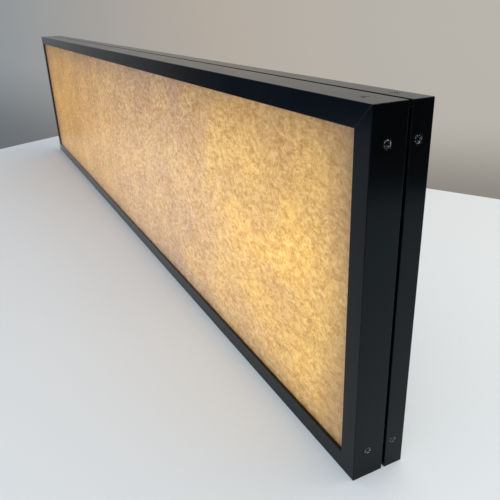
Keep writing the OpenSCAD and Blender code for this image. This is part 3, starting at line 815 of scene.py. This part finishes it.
def model_hanger_rivets(bm, looks):
    """The blind rivets of the keyhole plates: domed heads with the pulled pin's hole, and bulbs inside."""
    head = looks.hanger_rivet_head / 2
    shank = looks.hanger_rivet_shank / 2
    low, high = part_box("hanger_rivets")
    plates = [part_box(f"hanger_plate_{side}") for side in ("left", "right")]
    face = plates[0][1][1]
    rise = high[1] - face
    tip = low[1] - face
    inner = tip + rise
    hole = 0.28 * head
    dome = [
        (0.0, 0.4 * rise), (hole, 0.4 * rise), (1.1 * hole, rise), (0.5 * head, 0.97 * rise),
        (0.75 * head, 0.74 * rise), (0.94 * head, 0.3 * rise), (head, 0.0),
    ]
    bulb = [
        (shank, 0.0), (shank, inner), (0.9 * head, inner), (head, 0.6 * inner + 0.4 * tip),
        (0.85 * head, 0.2 * inner + 0.8 * tip), (0.4 * head, tip), (0.0, tip),
    ]
    spin_outline(bm, dome + bulb)
    places = []
    for plate_low, plate_high in plates:
        z = (plate_low[2] + plate_high[2]) / 2
        for x in (plate_low[0] + looks.hanger_rivet_inset, plate_high[0] - looks.hanger_rivet_inset):
            places.append(towards_back(x, face, z))
    repeat(bm, places)


def model_socket(bm, looks):
    """The socket's body: an eased flange, a bore for the plug and a threaded barrel."""
    low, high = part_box("power_socket")
    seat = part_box("hanger_plate_left")[0][1]
    flange = (high[0] - low[0]) / 2
    rise = high[1] - seat
    end = low[1] - seat
    bore = looks.plug_bore / 2
    floor = rise - looks.plug_bore_depth
    barrel = looks.socket_barrel / 2
    root = barrel - 0.6 * looks.socket_pitch
    ease = 0.3 * MM
    outline = [
        (0.0, floor), (bore, floor), (bore, rise - ease), (bore + ease, rise), (flange - ease, rise),
        (flange, rise - ease), (flange, 0.0), (barrel, 0.0),
    ]
    ridges = int(-end / looks.socket_pitch)
    for ridge in range(ridges):
        start = -ridge * looks.socket_pitch
        outline.append((root, start - looks.socket_pitch / 2))
        outline.append((barrel, start - looks.socket_pitch))
    outline += [(root, end), (0.0, end)]
    spin_outline(bm, outline)
    repeat(bm, [towards_back((low[0] + high[0]) / 2, seat, (low[2] + high[2]) / 2)])


def model_connectors(bm, looks):
    """The moulded housings on the bars' ends, each with four wire ways and four contact windows."""
    low, high = (Vector(corner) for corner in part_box("bar_connectors"))
    heights = bar_heights()
    size = Vector((high.x - low.x, high.y - low.y, 2 * (heights[0] - low.z)))
    ease = 0.35 * MM
    way = looks.wire_way / 2
    window = 0.18 * size.x
    window_depth = 0.6 * MM
    lanes = [(lane - 1.5) * looks.wire_pitch for lane in range(4)]
    bmesh.ops.create_cube(bm, size=1.0)
    bmesh.ops.scale(bm, vec=size, verts=bm.verts)
    bmesh.ops.bevel(
        bm, geom=bm.edges[:], offset=ease, affect="EDGES", segments=2, profile=0.5, material=-1
    )
    cut_across(bm, Vector((0, 0, 1)), [lane + edge for lane in lanes for edge in (-way, way)])
    cut_across(bm, Vector((0, 1, 0)), (-way, way))
    cut_across(bm, Vector((1, 0, 0)), (-window, window))

    wire_ways = []
    windows = []
    for surface in bm.faces:
        middle = surface.calc_center_median()
        in_lane = min(abs(middle.z - lane) for lane in lanes) < 0.1 * way
        if in_lane and surface.normal.x < -0.99 and abs(middle.y) < 0.1 * way:
            wire_ways.append(surface)
        if in_lane and surface.normal.y < -0.99 and abs(middle.x) < 0.1 * window:
            windows.append(surface)
    sink(bm, wire_ways, (looks.wire_insert, 0, 0))
    sink(bm, windows, (0, window_depth, 0))
    middle = (low + high) / 2
    repeat(bm, [Matrix.Translation((middle.x, middle.y, z)) for z in heights])


class SIGN_OT_frame_rails(Operator):
    """Coats the rails of both frames"""

    bl_idname = "sign.frame_rails"
    bl_label = "Frame rails"

    def execute(self, context):
        rails = [f"{place}_rail_{side}" for place in ("front", "rear") for side in SIDES]
        dress(satin_coat(context.scene.sign_looks), rails)
        return {"FINISHED"}


class SIGN_OT_frame_screws(Operator):
    """Models the countersunk screws of both frames"""

    bl_idname = "sign.frame_screws"
    bl_label = "Frame screws"

    def execute(self, context):
        looks = context.scene.sign_looks
        material = blackened_screw()
        sets = (
            ("front_screws", "front_cover", looks.front_screw_reach),
            ("rear_screws", "base", looks.rear_screw_reach),
        )
        for node, body, reach in sets:
            low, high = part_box(node)
            bm = bmesh.new()
            model_screw(bm, looks, reach)
            repeat(bm, screw_places(looks, (low[1] + high[1]) / 2))
            stand_in(bm, node, body, material)
        return {"FINISHED"}


class SIGN_OT_lit_face(Operator):
    """Lights the masking paper and the opal panel behind it"""

    bl_idname = "sign.lit_face"
    bl_label = "Lit face"

    def execute(self, context):
        dress(lit_paper(context.scene.sign_looks), ["masking_paper"])
        dress(opal_acrylic(), ["opal_panel"])
        return {"FINISHED"}


class SIGN_OT_cleats_and_beads(Operator):
    """Finishes the corner cleats and glazing beads as bare extrusions"""

    bl_idname = "sign.cleats_and_beads"
    bl_label = "Cleats and beads"

    def execute(self, context):
        cleats = [f"{place}_cleat_{corner}" for place in ("front", "rear") for corner in CORNERS]
        dress(mill_aluminium("cleat_aluminium", "y"), cleats)
        dress(mill_aluminium("long_bead_aluminium", "x"), ["bead_top", "bead_bottom"])
        dress(mill_aluminium("short_bead_aluminium", "z"), ["bead_left", "bead_right"])
        return {"FINISHED"}


class SIGN_OT_lighting_tray(Operator):
    """Coats the folded tray and its white reflector"""

    bl_idname = "sign.lighting_tray"
    bl_label = "Lighting tray"

    def execute(self, context):
        dress(matt_coat(context.scene.sign_looks), ["lighting_tray"])
        dress(white_reflector(), ["reflector_sheet"])
        return {"FINISHED"}


class SIGN_OT_led_bars(Operator):
    """Finishes the LED bars, their chips and their lenses"""

    bl_idname = "sign.led_bars"
    bl_label = "LED bars"

    def execute(self, context):
        looks = context.scene.sign_looks
        for bar in BARS:
            dress(circuit_board(looks, bar), [f"led_bar_{bar}"])
        dress(led_phosphor(looks), [f"led_chips_{bar}" for bar in BARS])
        dress(clear_lens(), [f"led_lenses_{bar}" for bar in BARS])
        return {"FINISHED"}


class SIGN_OT_wiring(Operator):
    """Models the connectors and the push rivets, and finishes the wires"""

    bl_idname = "sign.wiring"
    bl_label = "Wiring"

    def execute(self, context):
        looks = context.scene.sign_looks
        white_nylon = moulded_plastic(
            "white_nylon", dark=(0.70, 0.69, 0.63), pale=(0.78, 0.77, 0.71), roughness=0.45
        )
        black_nylon = moulded_plastic(
            "black_nylon", dark=(0.010, 0.010, 0.011), pale=(0.018, 0.018, 0.019), roughness=0.4
        )
        red_sleeve = moulded_plastic(
            "red_sleeve", dark=(0.36, 0.012, 0.010), pale=(0.46, 0.025, 0.018), roughness=0.38
        )
        black_sleeve = moulded_plastic(
            "black_sleeve", dark=(0.010, 0.010, 0.010), pale=(0.02, 0.02, 0.02), roughness=0.38
        )
        bm = bmesh.new()
        model_connectors(bm, looks)
        stand_in(bm, "bar_connectors", "base", white_nylon)
        bm = bmesh.new()
        model_push_rivets(bm, looks)
        stand_in(bm, "bar_rivets", "base", black_nylon)
        dress(red_sleeve, ["red_wires"])
        dress(black_sleeve, ["black_wires"])
        return {"FINISHED"}


class SIGN_OT_power_socket(Operator):
    """Models the power socket and finishes its nut, pin and tabs"""

    bl_idname = "sign.power_socket"
    bl_label = "Power socket"

    def execute(self, context):
        black_plastic = moulded_plastic(
            "socket_plastic", dark=(0.012, 0.012, 0.013), pale=(0.022, 0.022, 0.023), roughness=0.42
        )
        nut_zinc = plated_metal(
            "socket_nut_zinc", dark=(0.50, 0.51, 0.52), pale=(0.66, 0.67, 0.68), roughness=0.32
        )
        brass = plated_metal("socket_brass", dark=(0.62, 0.43, 0.16), pale=(0.78, 0.58, 0.26), roughness=0.28)
        bm = bmesh.new()
        model_socket(bm, context.scene.sign_looks)
        stand_in(bm, "power_socket", "base", black_plastic)
        dress(nut_zinc, ["socket_nut"])
        dress(brass, ["socket_pin", "socket_tabs"])
        return {"FINISHED"}


class SIGN_OT_keyhole_plates(Operator):
    """Finishes the keyhole plates and models their rivets"""

    bl_idname = "sign.keyhole_plates"
    bl_label = "Keyhole plates"

    def execute(self, context):
        plate_zinc = plated_metal(
            "plate_zinc", dark=(0.46, 0.48, 0.50), pale=(0.66, 0.67, 0.68), roughness=0.34
        )
        rivet_zinc = plated_metal(
            "rivet_zinc", dark=(0.56, 0.57, 0.58), pale=(0.70, 0.71, 0.72), roughness=0.28
        )
        dress(plate_zinc, ["hanger_plate_left", "hanger_plate_right"])
        bm = bmesh.new()
        model_hanger_rivets(bm, context.scene.sign_looks)
        stand_in(bm, "hanger_rivets", "base", rivet_zinc)
        return {"FINISHED"}


def table_laminate(stage):
    """White laminate with a faint unevenness."""
    finish = Finish("white_laminate", {"IOR": 1.45})
    clouds = finish.noise(finish.place, 0.25, detail=3.0)
    finish.vary({
        "Base Color": finish.dim(stage.table_colour, 0.985 + clouds * 0.03),
        "Roughness": 0.5 + clouds * 0.1,
    })
    return finish.material


def model_table(stage):
    """The table top, a slab with eased edges whose upper face is the floor that the sign stands on."""
    thickness = 25 * MM
    ease = 2 * MM
    bm = bmesh.new()
    bmesh.ops.create_cube(bm, size=1.0)
    bmesh.ops.scale(bm, vec=(stage.table_length, stage.table_width, thickness), verts=bm.verts)
    bmesh.ops.bevel(
        bm, geom=bm.edges[:], offset=ease, affect="EDGES", segments=3, profile=0.5, material=-1
    )
    to_corner = Vector((stage.table_length / 2, -stage.table_width / 2, -thickness / 2))
    bmesh.ops.translate(bm, vec=to_corner, verts=bm.verts)
    bmesh.ops.rotate(bm, cent=(0, 0, 0), matrix=Matrix.Rotation(stage.table_turn, 3, "Z"), verts=bm.verts)
    bmesh.ops.translate(bm, vec=(*stage.table_corner, LOW.z), verts=bm.verts)
    table = finish_mesh(bm, "table_top")
    table.data.materials.append(table_laminate(stage))


def light_room(stage):
    """A pale wall and a dim room for what is seen or mirrored, and even light on matt surfaces."""
    world = bpy.data.worlds.new("room")
    world.use_nodes = True
    bpy.context.scene.world = world
    nodes = Nodes(world.node_tree)
    x, y, z = nodes.split(nodes.add("ShaderNodeTexCoord", output="Generated"))
    facing = x * cos(stage.wall_heading) + y * sin(stage.wall_heading)
    sideways = x * sin(stage.wall_heading) - y * cos(stage.wall_heading)
    in_view = nodes.add("ShaderNodeLightPath", output="Is Camera Ray")
    seen = in_view
    for kind in ("Is Glossy Ray", "Is Transmission Ray"):
        seen = seen.most(Value(nodes, in_view.socket.node.outputs[kind]))

    # The wall behind the sign is shaded towards its sloping foot
    foot_heading = 0.64
    foot_slope = 0.4
    foot_light = 0.55
    wall = nodes.add(
        "ShaderNodeValToRGB",
        {"stops": [
            (0.4, stage.wall_side), (0.62, stage.wall_far), (0.88, stage.wall_middle), (1.0, stage.wall_near),
        ]},
        {"Fac": facing},
    )
    foot = z + (facing - foot_heading) * foot_slope
    low_light = foot_light + foot.rise(-0.19, -0.04) * (1 - foot_light)
    high_wall = nodes.mix(z.rise(0.05, 0.35), nodes.dim(wall, low_light), stage.wall_high)

    # The rest of the room is plain in view and dim where the sign mirrors it, with a crisp corner to the left
    corner_crispness = 0.85
    front = nodes.mix(facing.rise(0.12, 0.30), stage.room_window, stage.room_corner)
    mirrored = nodes.mix(sideways.rise(0.6, -0.6), stage.room_shade, front)
    room = nodes.mix(in_view, mirrored, stage.wall_front)
    soft_corner = facing.rise(0.0, 0.55)
    crisp_corner = facing.rise(0.29, 0.34)
    crisp = sideways.rise(0.3, -0.3) * (1 - in_view) * corner_crispness
    wall_share = soft_corner + (crisp_corner - soft_corner) * crisp
    around = nodes.mix(wall_share, room, high_wall)
    colour = nodes.mix(seen, stage.soft_light, around)
    nodes.feed(world.node_tree.nodes["Background"], {"Color": colour, "Strength": 1.0})


def hang_lamp(name, size, power, place, colour):
    """One large soft lamp, turned to the foot of the sign."""
    lamp = bpy.data.lights.new(name, "AREA")
    lamp.color = colour
    lamp.shape = "SQUARE"
    lamp.size = size
    lamp.energy = power
    holder = bpy.data.objects.new(name, lamp)
    aim = (-Vector(place)).to_track_quat("-Z", "Y").to_matrix().to_4x4()
    holder.matrix_world = Matrix.Translation(place) @ aim
    bpy.context.scene.collection.objects.link(holder)


def place_camera(stage):
    """The camera at the photograph's place, looking along the sign from its right end."""
    camera = bpy.data.cameras.new("camera")
    camera.sensor_width = SENSOR_WIDTH
    camera.lens = stage.camera_lens
    camera.clip_start = 10 * MM
    holder = bpy.data.objects.new("camera", camera)
    pan = Matrix.Rotation(stage.camera_pan, 4, "Z")
    tilt = Matrix.Rotation(stage.camera_tilt, 4, "X")
    roll = Matrix.Rotation(stage.camera_roll, 4, "Z")
    holder.matrix_world = Matrix.Translation(stage.camera_place) @ pan @ tilt @ roll
    bpy.context.scene.collection.objects.link(holder)
    bpy.context.scene.camera = holder


class SIGN_OT_stage(Operator):
    """Sets the table, the room's light and the camera"""

    bl_idname = "sign.stage"
    bl_label = "Stage"

    def execute(self, context):
        stage = context.scene.stage_looks
        context.scene.view_settings.view_transform = "Standard"
        model_table(stage)
        light_room(stage)
        hang_lamp("key_lamp", stage.lamp_size, stage.key_power, stage.key_place, stage.key_colour)
        hang_lamp("back_lamp", stage.lamp_size, stage.back_power, stage.back_place, stage.back_colour)
        place_camera(stage)
        return {"FINISHED"}


OPERATORS = (
    SIGN_OT_frame_rails,
    SIGN_OT_frame_screws,
    SIGN_OT_lit_face,
    SIGN_OT_cleats_and_beads,
    SIGN_OT_lighting_tray,
    SIGN_OT_led_bars,
    SIGN_OT_wiring,
    SIGN_OT_power_socket,
    SIGN_OT_keyhole_plates,
    SIGN_OT_stage,
)


class VIEW3D_PT_sign(Panel):
    """Lists the sign's pieces, its stage and their settings"""

    bl_label = "Light box sign"
    bl_space_type = "VIEW_3D"
    bl_region_type = "UI"
    bl_category = "Sign"

    def draw(self, context):
        for operator in OPERATORS:
            self.layout.operator(operator.bl_idname)
        for looks in (context.scene.sign_looks, context.scene.stage_looks):
            box = self.layout.box()
            for name in looks.__annotations__:
                box.prop(looks, name)


CLASSES = (SignLooks, StageLooks, *OPERATORS, VIEW3D_PT_sign)


def register():
    for each in CLASSES:
        bpy.utils.register_class(each)
    bpy.types.Scene.sign_looks = PointerProperty(type=SignLooks)
    bpy.types.Scene.stage_looks = PointerProperty(type=StageLooks)


def unregister():
    del bpy.types.Scene.stage_looks
    del bpy.types.Scene.sign_looks
    for each in reversed(CLASSES):
        bpy.utils.unregister_class(each)


def main():
    """Makes every piece and the stage."""
    register()
    bpy.ops.sign.frame_rails()
    bpy.ops.sign.frame_screws()
    bpy.ops.sign.lit_face()
    bpy.ops.sign.cleats_and_beads()
    bpy.ops.sign.lighting_tray()
    bpy.ops.sign.led_bars()
    bpy.ops.sign.wiring()
    bpy.ops.sign.power_socket()
    bpy.ops.sign.keyhole_plates()
    bpy.ops.sign.stage()


if __name__ == "__main__":
    main()
